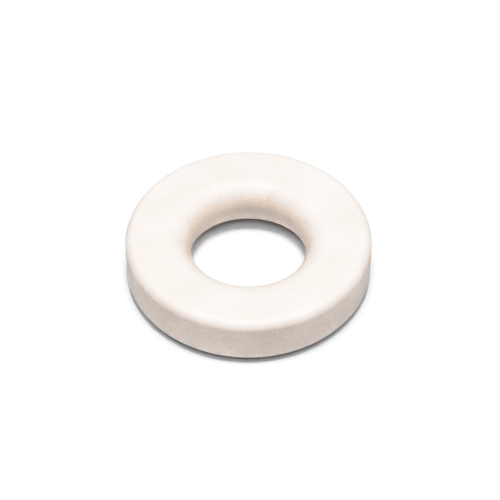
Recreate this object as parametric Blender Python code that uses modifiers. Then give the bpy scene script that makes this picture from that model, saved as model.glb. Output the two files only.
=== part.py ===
"""A thick flat washer: one pressed and fired ceramic ring.

The ring lies flat on its bottom face. The origin is on the axis of the hole,
in the plane of the bottom face, and +Z points up through the hole.
"""

import math

import bmesh
import bpy

MM = 0.001

# Driving dimensions. The hole is the standard washer hole for an 8 mm screw.
OUTSIDE_DIAMETER = 18.0 * MM
HOLE_DIAMETER = 8.4 * MM
THICKNESS = 4.0 * MM

# Radii of the rounds. The hole's two mouths have wide, soft rounds that nearly
# meet at its waist, and the outer corners have small ones.
TOP_OUTER_ROUND = 0.7 * MM
BOTTOM_OUTER_ROUND = 1.0 * MM
TOP_MOUTH_ROUND = 1.7 * MM
BOTTOM_MOUTH_ROUND = 2.2 * MM

# How finely the round shapes are cut into flats.
TURN_STEPS = 96
ARC_STEP_DEGREES = 15.0

IVORY = (0.86, 0.79, 0.73, 1.0)
FIRED_SATIN_ROUGHNESS = 0.5
ALUMINA_IOR = 1.77


def clear_scene():
    for old_object in list(bpy.data.objects):
        bpy.data.objects.remove(old_object, do_unlink=True)


def new_collection(name):
    collection = bpy.data.collections.new(name)
    bpy.context.scene.collection.children.link(collection)
    return collection


def alumina_material():
    """Ivory alumina, unglazed, fired to a soft satin."""
    material = bpy.data.materials.new("ivory_alumina")
    material.use_nodes = True
    shader = material.node_tree.nodes["Principled BSDF"]
    shader.inputs["Base Color"].default_value = IVORY
    shader.inputs["Metallic"].default_value = 0.0
    shader.inputs["Roughness"].default_value = FIRED_SATIN_ROUGHNESS
    shader.inputs["IOR"].default_value = ALUMINA_IOR
    material.diffuse_color = IVORY
    return material


def quarter_round(centre_x, centre_z, radius, start_degrees):
    """Points of a quarter circle, turning clockwise from start_degrees."""
    steps = round(90.0 / ARC_STEP_DEGREES)
    points = []
    for step in range(steps + 1):
        angle = math.radians(start_degrees - step * ARC_STEP_DEGREES)
        x = centre_x + radius * math.cos(angle)
        z = centre_z + radius * math.sin(angle)
        points.append((x, z))
    return points


def washer_section():
    """The ring's section: down the outer side, under, up the hole and over."""
    outer = OUTSIDE_DIAMETER / 2
    hole = HOLE_DIAMETER / 2
    top_outer = quarter_round(
        outer - TOP_OUTER_ROUND, THICKNESS - TOP_OUTER_ROUND, TOP_OUTER_ROUND, 90.0)
    bottom_outer = quarter_round(
        outer - BOTTOM_OUTER_ROUND, BOTTOM_OUTER_ROUND, BOTTOM_OUTER_ROUND, 0.0)
    bottom_mouth = quarter_round(
        hole + BOTTOM_MOUTH_ROUND, BOTTOM_MOUTH_ROUND, BOTTOM_MOUTH_ROUND, -90.0)
    top_mouth = quarter_round(
        hole + TOP_MOUTH_ROUND, THICKNESS - TOP_MOUTH_ROUND, TOP_MOUTH_ROUND, 180.0)
    return top_outer + bottom_outer + bottom_mouth + top_mouth


def closed_outline_mesh(name, points):
    """A loop of edges in the XZ plane through the given (x, z) points."""
    outline = bmesh.new()
    corners = [outline.verts.new((x, 0.0, z)) for x, z in points]
    for index, corner in enumerate(corners):
        outline.edges.new((corner, corners[(index + 1) % len(corners)]))
    mesh = bpy.data.meshes.new(name)
    outline.to_mesh(mesh)
    outline.free()
    return mesh


def turn_about_z(turned_object):
    """Turn the section once round the Z axis."""
    screw = turned_object.modifiers.new("turn", 'SCREW')
    screw.axis = 'Z'
    screw.angle = math.tau
    screw.screw_offset = 0.0
    screw.steps = TURN_STEPS
    screw.render_steps = TURN_STEPS
    screw.use_merge_vertices = False
    screw.use_smooth_shade = True


def build_washer(collection):
    mesh = closed_outline_mesh("washer", washer_section())
    mesh.materials.append(alumina_material())
    washer = bpy.data.objects.new("washer", mesh)
    collection.objects.link(washer)
    turn_about_z(washer)
    return washer


def main():
    clear_scene()
    build_washer(new_collection("flat_washer"))


main()
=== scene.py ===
# %% [markdown]
# # A thick ceramic washer
#
# The real object is one ring of alumina, a hard technical ceramic. Powder is
# pressed in a steel die, the raw ring is tumbled so that its corners go round,
# and then it is fired until it shrinks hard, with a smooth satin skin. A bolt, a
# rod or a wire goes through it, and the ring keeps heat and current away from
# what it holds.
#
# This lesson starts from a packed engineering model of that ring. The packed
# model is right in size but cut into coarse flats, so a fine ring is modelled
# over it by hand, given its fired ivory finish, and set on paper under soft lamps.

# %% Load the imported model
import math

import bmesh
import bpy
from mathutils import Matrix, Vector


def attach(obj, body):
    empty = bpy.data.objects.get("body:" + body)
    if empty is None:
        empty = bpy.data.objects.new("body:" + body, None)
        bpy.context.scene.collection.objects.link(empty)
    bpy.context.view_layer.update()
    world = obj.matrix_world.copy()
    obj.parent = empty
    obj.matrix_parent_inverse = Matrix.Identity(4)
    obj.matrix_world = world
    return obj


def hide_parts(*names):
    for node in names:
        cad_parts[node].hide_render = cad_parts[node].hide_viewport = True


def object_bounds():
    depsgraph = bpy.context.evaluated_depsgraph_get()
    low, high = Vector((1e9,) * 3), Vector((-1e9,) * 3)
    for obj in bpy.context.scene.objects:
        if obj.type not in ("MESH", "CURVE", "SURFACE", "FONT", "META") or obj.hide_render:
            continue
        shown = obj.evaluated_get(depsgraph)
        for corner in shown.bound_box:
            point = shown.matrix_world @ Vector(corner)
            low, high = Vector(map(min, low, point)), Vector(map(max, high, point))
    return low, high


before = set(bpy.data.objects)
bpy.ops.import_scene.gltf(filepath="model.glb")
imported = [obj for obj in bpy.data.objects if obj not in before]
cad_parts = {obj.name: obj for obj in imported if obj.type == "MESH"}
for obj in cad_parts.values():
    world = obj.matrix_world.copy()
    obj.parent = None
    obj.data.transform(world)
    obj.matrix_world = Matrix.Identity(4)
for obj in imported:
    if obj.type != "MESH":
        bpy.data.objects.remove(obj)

MM = 0.001
cad_low, cad_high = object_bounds()
cad_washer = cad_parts["washer"]
print("packed model, mm:", [round(side / MM, 3) for side in cad_high - cad_low])

# %% [markdown]
# ## Reading the ring's sizes
#
# Seven sizes make the whole shape: the outside radius, the thickness, the radius
# of the hole, and the inner and outer limit of each flat face. They could be
# typed in, but a second set of numbers would drift from the first one day. It is
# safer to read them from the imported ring. Each of its corners is a point at some
# distance from the axis, and the points at the very top and very bottom belong
# to the two flat faces.

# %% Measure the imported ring
SAME_HEIGHT = 0.001 * MM


def radii_at_height(points, height):
    """How far from the axis the points at one height are, nearest and farthest."""
    radii = [math.hypot(p.x, p.y) for p in points if abs(p.z - height) < SAME_HEIGHT]
    return min(radii), max(radii)


cad_points = [vertex.co for vertex in cad_washer.data.vertices]
base, top = cad_low.z, cad_high.z
thickness = top - base
outer_radius = cad_high.x
hole_radius = min(math.hypot(p.x, p.y) for p in cad_points)
top_flat_inner, top_flat_outer = radii_at_height(cad_points, top)
base_flat_inner, base_flat_outer = radii_at_height(cad_points, base)
print("outer radius, mm:", round(outer_radius / MM, 3))
print("hole radius, mm:", round(hole_radius / MM, 3))
print("top flat, mm:", round(top_flat_inner / MM, 3), "to", round(top_flat_outer / MM, 3))
print("base flat, mm:", round(base_flat_inner / MM, 3), "to", round(base_flat_outer / MM, 3))

# %% [markdown]
# ## Modelling the ring
#
# A turned ring could be drawn as a section and spun. Here it is made the way it
# is thought of on the bench, as a disc that gets a hole and then has its corners
# eased. The disc is a cylinder. Its two end faces are inset to the size of the
# hole and bridged, which cuts straight through. That leaves four sharp corners,
# and each is bevelled with its own radius: small on the outside, where the ring
# is only tumbled, and wide at the mouths of the hole, where a sharp edge would
# chip as a bolt or a rod goes in.

# %% Helpers for working in edit mode
CORNER_MARGIN = 0.01 * MM


def start_clean():
    """Leave nothing selected, so that the next operator acts on new work only."""
    if bpy.context.object and bpy.context.object.mode != 'OBJECT':
        bpy.ops.object.mode_set(mode='OBJECT')
    bpy.ops.object.select_all(action='DESELECT')


def select_faces(test):
    """In edit mode, select just the faces that pass the test, and count them."""
    bpy.ops.mesh.select_mode(type='FACE')
    bpy.ops.mesh.select_all(action='DESELECT')
    mesh = bmesh.from_edit_mesh(bpy.context.object.data)
    for face in mesh.faces:
        face.select_set(test(face))
    bmesh.update_edit_mesh(bpy.context.object.data)
    return sum(face.select for face in mesh.faces)


def select_corner(radius, height):
    """In edit mode, select the round edge at that radius and height, and count it."""
    bpy.ops.mesh.select_mode(type='EDGE')
    bpy.ops.mesh.select_all(action='DESELECT')
    mesh = bmesh.from_edit_mesh(bpy.context.object.data)
    for edge in mesh.edges:
        on_circle = all(abs(math.hypot(v.co.x, v.co.y) - radius) < CORNER_MARGIN
                        for v in edge.verts)
        level = all(abs(v.co.z - height) < CORNER_MARGIN for v in edge.verts)
        edge.select_set(on_circle and level)
    bmesh.update_edit_mesh(bpy.context.object.data)
    return sum(edge.select for edge in mesh.edges)


# %% A disc with a hole through it
SIDES = 240
# The height part of an end face's normal is 1 and a side's is 0, so this parts them.
LEVEL_FACE = 0.9

start_clean()
bpy.ops.mesh.primitive_cylinder_add(
    vertices=SIDES, radius=outer_radius, depth=thickness, end_fill_type='NGON',
    location=(0.0, 0.0, base + thickness / 2))
ring = bpy.context.object
ring.name = "ceramic_ring"
ring.data.name = "ceramic_ring"
bpy.ops.object.transform_apply(location=True, rotation=True, scale=True)

bpy.ops.object.mode_set(mode='EDIT')
ends = select_faces(lambda face: abs(face.normal.z) > LEVEL_FACE)
bpy.ops.mesh.inset(thickness=outer_radius - hole_radius, depth=0.0)
bpy.ops.mesh.bridge_edge_loops()
bpy.ops.object.mode_set(mode='OBJECT')
print("holed through", ends, "end faces:", len(ring.data.polygons), "faces in all")

# %% [markdown]
# ## Easing the corners
#
# A bevel whose profile is 0.5 is a true quarter circle on a square corner. Its
# offset is then the radius of the round, which is the distance from the corner to
# the edge of the flat face that was measured above. More segments go where the
# round is wider, so that every strip is about as long along the section.

# %% Bevel the four corners
STRIP_LENGTH = 0.11 * MM
CIRCLE_PROFILE = 0.5
SAME_POINT = 0.0001 * MM
SHARP_ANGLE = math.radians(30.0)


def ease_corner(radius, height, round_radius):
    """In edit mode, turn one of the ring's square corners into a quarter round."""
    found = select_corner(radius, height)
    strips = math.ceil(round_radius * math.pi / 2 / STRIP_LENGTH)
    bpy.ops.mesh.bevel(
        offset=round_radius, offset_type='OFFSET', segments=strips,
        profile=CIRCLE_PROFILE, affect='EDGES', clamp_overlap=False)
    print(f"eased {found} edges with a radius of {round_radius / MM:.2f} mm, {strips} strips")


start_clean()
ring.select_set(True)
bpy.context.view_layer.objects.active = ring
bpy.ops.object.mode_set(mode='EDIT')
ease_corner(outer_radius, top, outer_radius - top_flat_outer)
ease_corner(outer_radius, base, outer_radius - base_flat_outer)
ease_corner(hole_radius, top, top_flat_inner - hole_radius)
ease_corner(hole_radius, base, base_flat_inner - hole_radius)
bpy.ops.mesh.select_all(action='SELECT')
bpy.ops.mesh.remove_doubles(threshold=SAME_POINT)
bpy.ops.mesh.normals_make_consistent(inside=False)
bpy.ops.object.mode_set(mode='OBJECT')
bpy.ops.object.shade_smooth_by_angle(angle=SHARP_ANGLE)
print("finished ring:", len(ring.data.polygons), "faces")

# %% Fit it to the frame
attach(ring, "root")
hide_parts("washer")
print("ring replaces", cad_washer.name)

# %% [markdown]
# ## Three helpers for making a finish
#
# A finish is a small network of nodes. Colours are picked as hex values, the way
# a colour picker shows them, but shaders work in linear light, so one function
# does that turn for all of them. Another adds a node, sets its inputs and links
# it up in one call, which keeps the recipe short enough to read. The third turns
# a real size into the scale that a pattern node asks for.

# %% Helpers for a finish
def linear(hex_colour):
    """An sRGB hex colour as the linear values that shaders work in."""
    channels = [int(hex_colour[i:i + 2], 16) / 255 for i in (1, 3, 5)]
    return tuple(c / 12.92 if c <= 0.04045 else ((c + 0.055) / 1.055) ** 2.4
                 for c in channels) + (1.0,)


def add_node(tree, kind, settings=None, links=None):
    """Add a node. Settings name its properties or inputs, links feed its inputs.

    An input whose name comes twice on a node is given by its number.
    """
    node = tree.nodes.new(kind)
    for name, value in (settings or {}).items():
        if isinstance(name, int) or name in node.inputs:
            node.inputs[name].default_value = value
        else:
            setattr(node, name, value)
    for name, socket in (links or {}).items():
        tree.links.new(socket, node.inputs[name])
    return node


def per_metre(size):
    """The scale that makes a noise or cell pattern repeat about once per size."""
    return 1.0 / size


print("a mid grey, #808080, in linear light:", round(linear("#808080")[0], 3))

# %% [markdown]
# ## The finish: unglazed fired alumina
#
# Alumina washers are dry-pressed from powder, tumbled while still chalky, and
# fired at about 1600 °C. Nothing is painted on. The colour is the body's own, a
# warm ivory, and the eye gets four things from how it was made:
#
# - soft clouds of a paler and a buffer ivory, some millimetres wide, where the
#   powder packed more or less densely;
# - a fine grain, because the surface is a crust of sintered crystals;
# - a few faint buff specks, from iron in the powder;
# - a satin that is a little smoother on the rounds, where the tumbling rubbed
#   most, and that carries faint grey marks where the ring has met steel.
#
# All the patterns read Object coordinates, which are in metres here, so a size
# in the recipe is a size on the ring. The true grain is about 0.02 mm, too fine
# to be seen, so it is drawn at 0.15 mm. A noise mostly stays between 0.3 and 0.7,
# so each pattern names the stretch of it that is spread out to the full range.

# %% The body's colour
PALE_IVORY = "#F1E9E3"
BUFF_IVORY = "#EBE2DB"
SPECK_BUFF = "#C9B49D"

CLOUD_SIZE = 3.5 * MM
CLOUD_STRETCH = (0.35, 0.65)
GRAIN_SIZE = 0.15 * MM
GRAIN_STRETCH = (0.3, 0.7)
GRAIN_CONTRAST = 0.035
SPECK_SPACING = 1.4 * MM
SPECK_RADIUS = 0.07 * MM
SPECK_CORE = 0.4
SPECKED_SHARE = 0.17

# A Mix node has its colours' sockets at these numbers.
MIX_FIRST = 6
MIX_SECOND = 7
MIX_COLOUR = 2


def clouded_ivory(tree, place):
    """Pale and buff ivory in soft clouds, with the crystals' fine grain over them."""
    clouds = add_node(tree, "ShaderNodeTexNoise",
                      {"Scale": per_metre(CLOUD_SIZE), "Detail": 3.0, "Roughness": 0.5},
                      {"Vector": place})
    spread = add_node(tree, "ShaderNodeMapRange",
                      {"From Min": CLOUD_STRETCH[0], "From Max": CLOUD_STRETCH[1]},
                      {"Value": clouds.outputs["Fac"]})
    ivory = add_node(tree, "ShaderNodeMix",
                     {"data_type": 'RGBA', MIX_FIRST: linear(PALE_IVORY),
                      MIX_SECOND: linear(BUFF_IVORY)},
                     {"Factor": spread.outputs["Result"]})
    grain = add_node(tree, "ShaderNodeTexNoise",
                     {"Scale": per_metre(GRAIN_SIZE), "Detail": 2.0, "Roughness": 0.6},
                     {"Vector": place})
    fleck = add_node(tree, "ShaderNodeMapRange",
                     {"From Min": GRAIN_STRETCH[0], "From Max": GRAIN_STRETCH[1],
                      "To Min": 1.0 - GRAIN_CONTRAST, "To Max": 1.0 + GRAIN_CONTRAST},
                     {"Value": grain.outputs["Fac"]})
    grained = add_node(tree, "ShaderNodeVectorMath", {"operation": 'SCALE'},
                       {"Vector": ivory.outputs[MIX_COLOUR], "Scale": fleck.outputs["Result"]})
    return grained.outputs["Vector"], grain.outputs["Fac"]


def speck_mask(tree, place):
    """One round speck in about one cell of six, soft at its rim, 0 to 1."""
    cells = add_node(tree, "ShaderNodeTexVoronoi", {"Scale": per_metre(SPECK_SPACING)},
                     {"Vector": place})
    rim = SPECK_RADIUS / SPECK_SPACING
    dot = add_node(tree, "ShaderNodeMapRange",
                   {"From Min": rim, "From Max": rim * SPECK_CORE},
                   {"Value": cells.outputs["Distance"]})
    chance = add_node(tree, "ShaderNodeSeparateColor", links={"Color": cells.outputs["Color"]})
    chosen = add_node(tree, "ShaderNodeMath", {"operation": 'GREATER_THAN', 1: 1.0 - SPECKED_SHARE},
                      {0: chance.outputs["Red"]})
    speck = add_node(tree, "ShaderNodeMath", {"operation": 'MULTIPLY'},
                     {0: dot.outputs["Result"], 1: chosen.outputs["Value"]})
    return speck.outputs["Value"]


# %% [markdown]
# ## Where the tumbling rubbed
#
# The rounds are the places whose surface leans, neither level like the two faces
# nor upright like the wall. The height part of the surface's own normal says how
# much: it is 1 on a level face, 0 on the wall, and about 0.7 halfway round a
# corner. A curve that peaks there finds all four rounds at once, and no second
# copy of their sizes is needed.

# %% Find the rounds
ROUND_PEAK = 0.7
ROUND_REACH = 0.3


def round_mask(tree, coordinates):
    """1 halfway round a corner, and 0 on the flat faces and the straight wall."""
    normal = add_node(tree, "ShaderNodeSeparateXYZ",
                      links={"Vector": coordinates.outputs["Normal"]})
    lean = add_node(tree, "ShaderNodeMath", {"operation": 'ABSOLUTE'}, {0: normal.outputs["Z"]})
    off_peak = add_node(tree, "ShaderNodeMath", {"operation": 'SUBTRACT', 1: ROUND_PEAK},
                        {0: lean.outputs["Value"]})
    distance = add_node(tree, "ShaderNodeMath", {"operation": 'ABSOLUTE'},
                        {0: off_peak.outputs["Value"]})
    mask = add_node(tree, "ShaderNodeMapRange",
                    {"From Min": ROUND_REACH, "From Max": 0.0},
                    {"Value": distance.outputs["Value"]})
    return mask.outputs["Result"]


# %% [markdown]
# ## Satin, marks and relief
#
# The gloss of fired alumina comes from how rough its crust of crystals is, so a
# roughness a little over one half gives the satin. Its refractive index is 1.77
# when it is fully dense. The open crust reflects less than that, so a lower one
# is used. The marks are metal rubbed off a steel tray or bolt, which sticks only
# to what stands out, and the relief is a few thousandths of a millimetre.

# %% The surface's gloss and relief
SATIN_ROUGHNESS = 0.58
RUBBED_ROUGHNESS = 0.5
UNEVEN_ROUGHNESS = 0.06
RUB_SIZE = 0.8 * MM
CRUST_IOR = 1.6
WAVE_SIZE = 1.6 * MM
WAVE_HEIGHT = 0.006 * MM
GRAIN_HEIGHT = 0.002 * MM
STEEL_GREY = "#BDB9B4"
STEEL_MARK_STRETCH = (0.56, 0.72)
STEEL_MARK_STRENGTH = 0.25


def satin_roughness(tree, place, rounds):
    """Smoother on the rubbed rounds, and a little uneven everywhere."""
    patches = add_node(tree, "ShaderNodeTexNoise",
                       {"Scale": per_metre(RUB_SIZE), "Detail": 2.0}, {"Vector": place})
    uneven = add_node(tree, "ShaderNodeMapRange",
                      {"To Min": -UNEVEN_ROUGHNESS, "To Max": UNEVEN_ROUGHNESS},
                      {"Value": patches.outputs["Fac"]})
    satin = add_node(tree, "ShaderNodeMapRange",
                     {"To Min": SATIN_ROUGHNESS, "To Max": RUBBED_ROUGHNESS},
                     {"Value": rounds})
    both = add_node(tree, "ShaderNodeMath", {"operation": 'ADD'},
                    {0: satin.outputs["Result"], 1: uneven.outputs["Result"]})
    return both.outputs["Value"]


def steel_mark_mask(tree, place, rounds):
    """Thin grey marks on the rounds, only where a patchy noise is high."""
    patches = add_node(tree, "ShaderNodeTexNoise",
                       {"Scale": per_metre(RUB_SIZE), "Detail": 4.0, "Distortion": 0.6},
                       {"Vector": place})
    high = add_node(tree, "ShaderNodeMapRange",
                    {"From Min": STEEL_MARK_STRETCH[0], "From Max": STEEL_MARK_STRETCH[1],
                     "To Max": STEEL_MARK_STRENGTH},
                    {"Value": patches.outputs["Fac"]})
    marks = add_node(tree, "ShaderNodeMath", {"operation": 'MULTIPLY'},
                     {0: high.outputs["Result"], 1: rounds})
    return marks.outputs["Value"]


def relief(tree, place, grain):
    """Long shallow waves from the firing, with the crystals' grain on top."""
    waves = add_node(tree, "ShaderNodeTexNoise",
                     {"Scale": per_metre(WAVE_SIZE), "Detail": 1.0}, {"Vector": place})
    wavy = add_node(tree, "ShaderNodeBump", {"Distance": WAVE_HEIGHT},
                    {"Height": waves.outputs["Fac"]})
    grainy = add_node(tree, "ShaderNodeBump", {"Distance": GRAIN_HEIGHT},
                      {"Height": grain, "Normal": wavy.outputs["Normal"]})
    return grainy.outputs["Normal"]


# %% Put the finish together
def fired_alumina():
    """Unglazed ivory alumina: dry-pressed, tumbled and fired."""
    material = bpy.data.materials.new("fired_alumina")
    material.use_nodes = True
    tree = material.node_tree
    shader = tree.nodes["Principled BSDF"]
    coordinates = add_node(tree, "ShaderNodeTexCoord")
    place = coordinates.outputs["Object"]
    rounds = round_mask(tree, coordinates)

    body, grain = clouded_ivory(tree, place)
    specked = add_node(tree, "ShaderNodeMix",
                       {"data_type": 'RGBA', MIX_SECOND: linear(SPECK_BUFF)},
                       {"Factor": speck_mask(tree, place), MIX_FIRST: body})
    marked = add_node(tree, "ShaderNodeMix",
                      {"data_type": 'RGBA', MIX_SECOND: linear(STEEL_GREY)},
                      {"Factor": steel_mark_mask(tree, place, rounds),
                       MIX_FIRST: specked.outputs[MIX_COLOUR]})
    tree.links.new(marked.outputs[MIX_COLOUR], shader.inputs["Base Color"])
    tree.links.new(satin_roughness(tree, place, rounds), shader.inputs["Roughness"])
    tree.links.new(relief(tree, place, grain), shader.inputs["Normal"])
    shader.inputs["IOR"].default_value = CRUST_IOR
    return material


ring.data.materials.clear()
ring.data.materials.append(fired_alumina())
print("finish:", ring.data.materials[0].name)

# %% [markdown]
# ## The table
#
# A sheet of white paper under the ring. Paper scatters light evenly and has no
# shine to speak of, so it is a plain diffuse white, and the brightener in it
# turns the white a trace blue. It also does half of the lighting: the wall of the
# ring faces no lamp squarely, and most of what it shows is light that the paper
# sends back up. The trace of blue keeps that light from turning the wall tan.

# %% Lay the paper
PAPER_SIDE = 3.0
PAPER_WHITE = "#F4F7FA"

start_clean()
bpy.ops.mesh.primitive_plane_add(size=PAPER_SIDE, location=(0.0, 0.0, base))
paper = bpy.context.object
paper.name = "paper"
white_paper = bpy.data.materials.new("white_paper")
white_paper.use_nodes = True
paper_shader = white_paper.node_tree.nodes["Principled BSDF"]
paper_shader.inputs["Base Color"].default_value = linear(PAPER_WHITE)
paper_shader.inputs["Roughness"].default_value = 1.0
paper_shader.inputs["Specular IOR Level"].default_value = 0.0
paper.data.materials.append(white_paper)

# %% [markdown]
# ## Soft lamps
#
# The strongest lamp hangs straight above, so the ring's shadow stays tucked
# under it on every side. Weaker ones hang to the left, to the right and in front,
# to keep the rounds and the wall from going dull. Each lamp is a wide disc. Its
# strength is given as the light that it lays on the table, where 1.0 alone would
# show a perfect white as white, and the watts follow from its distance and tilt:
# light thins with the square of the distance, and spreads out as it comes in at
# a slant.

# %% Hang the lamps
LAMP_DISTANCE = 0.6


def aim(thing, target):
    """Turn a lamp or a camera so that it looks at the target."""
    thing.rotation_euler = (Vector(target) - thing.location).to_track_quat('-Z', 'Y').to_euler()


def hang_lamp(name, azimuth, elevation, width, table_light):
    """A disc lamp. Azimuth 0 is in front, 90 is at the right; angles in degrees."""
    turn, rise = math.radians(azimuth), math.radians(elevation)
    lamp_data = bpy.data.lights.new(name, 'AREA')
    lamp_data.shape = 'DISK'
    lamp_data.size = width
    lamp_data.energy = table_light * (math.pi * LAMP_DISTANCE) ** 2 / math.sin(rise)
    lamp = bpy.data.objects.new(name, lamp_data)
    bpy.context.collection.objects.link(lamp)
    lamp.location = LAMP_DISTANCE * Vector((
        math.cos(rise) * math.sin(turn), -math.cos(rise) * math.cos(turn), math.sin(rise)))
    aim(lamp, (0.0, 0.0, 0.0))
    print(f"{name}: {lamp_data.energy:.2f} W")


hang_lamp("lamp_above", azimuth=0.0, elevation=90.0, width=0.225, table_light=0.58)
hang_lamp("lamp_left", azimuth=-90.0, elevation=60.0, width=0.25, table_light=0.11)
hang_lamp("lamp_right", azimuth=90.0, elevation=60.0, width=0.25, table_light=0.12)
hang_lamp("lamp_front", azimuth=0.0, elevation=60.0, width=0.25, table_light=0.18)

# %% [markdown]
# ## The room
#
# A lamp lights only what it sees. The little light that comes from everywhere
# else, off pale walls, is a plain white world at a low strength.

# %% Light the room
ROOM_LIGHT = 0.05

room = bpy.data.worlds.new("room")
room.use_nodes = True
background = room.node_tree.nodes["Background"]
background.inputs["Color"].default_value = (1.0, 1.0, 1.0, 1.0)
background.inputs["Strength"].default_value = ROOM_LIGHT
bpy.context.scene.world = room

# %% [markdown]
# ## The camera
#
# A long lens from twenty radii away shows the ring almost without perspective:
# its far side looks nearly as wide as its near side, as in a catalogue picture.
# The camera looks down at a little more than 46 degrees, which shows the top
# face, the far wall of the hole and the front wall together.

# %% Set up the camera
LENS = 175.0
SENSOR_WIDTH = 36.0
CAMERA_ELEVATION = math.radians(46.35)
CAMERA_DISTANCE = 19.8 * outer_radius
AIM_ACROSS = 0.012 * outer_radius
AIM_UP = 0.58 * thickness

camera_data = bpy.data.cameras.new("camera")
camera_data.sensor_width = SENSOR_WIDTH
camera_data.lens = LENS
camera_data.clip_start = CAMERA_DISTANCE / 100
camera_data.clip_end = CAMERA_DISTANCE * 100
camera = bpy.data.objects.new("camera", camera_data)
bpy.context.collection.objects.link(camera)
target = Vector((AIM_ACROSS, 0.0, base + AIM_UP))
camera.location = target + CAMERA_DISTANCE * Vector(
    (0.0, -math.cos(CAMERA_ELEVATION), math.sin(CAMERA_ELEVATION)))
aim(camera, target)
bpy.context.scene.camera = camera
print("camera distance, mm:", round(CAMERA_DISTANCE / MM, 1))

# %% [markdown]
# ## The print
#
# A catalogue picture is printed bright and a little hard: the paper goes fully
# white, the ivory stays just under it, and the shadow stays deep. A tone curve
# does that. It holds the shadows down, is steepest in the light greys, and then
# bends over, so that what is brighter than white rolls off gently.

# %% Bend the tones
# Each tone's light, and the light that it prints as. 1.0 is paper white.
TONES = {"shadow": (0.20, 0.11), "wall": (0.49, 0.45), "light": (0.64, 0.78),
         "ivory": (0.78, 0.92), "white": (0.95, 1.02), "lamp": (2.0, 1.10)}
ALL_CHANNELS = 3

view = bpy.context.scene.view_settings
view.view_transform = 'Standard'
view.use_curve_mapping = True
tone_curve = view.curve_mapping
tone_curve.use_clip = False
tone_curve.tone = 'FILMLIKE'
every_channel = tone_curve.curves[ALL_CHANNELS]
every_channel.points[-1].location = TONES["lamp"]
for tone in ("shadow", "wall", "light", "ivory", "white"):
    every_channel.points.new(*TONES[tone])
tone_curve.update()
for name, (light_in, _) in TONES.items():
    print(f"{name}: {light_in:.2f} prints as {tone_curve.evaluate(every_channel, light_in):.3f}")
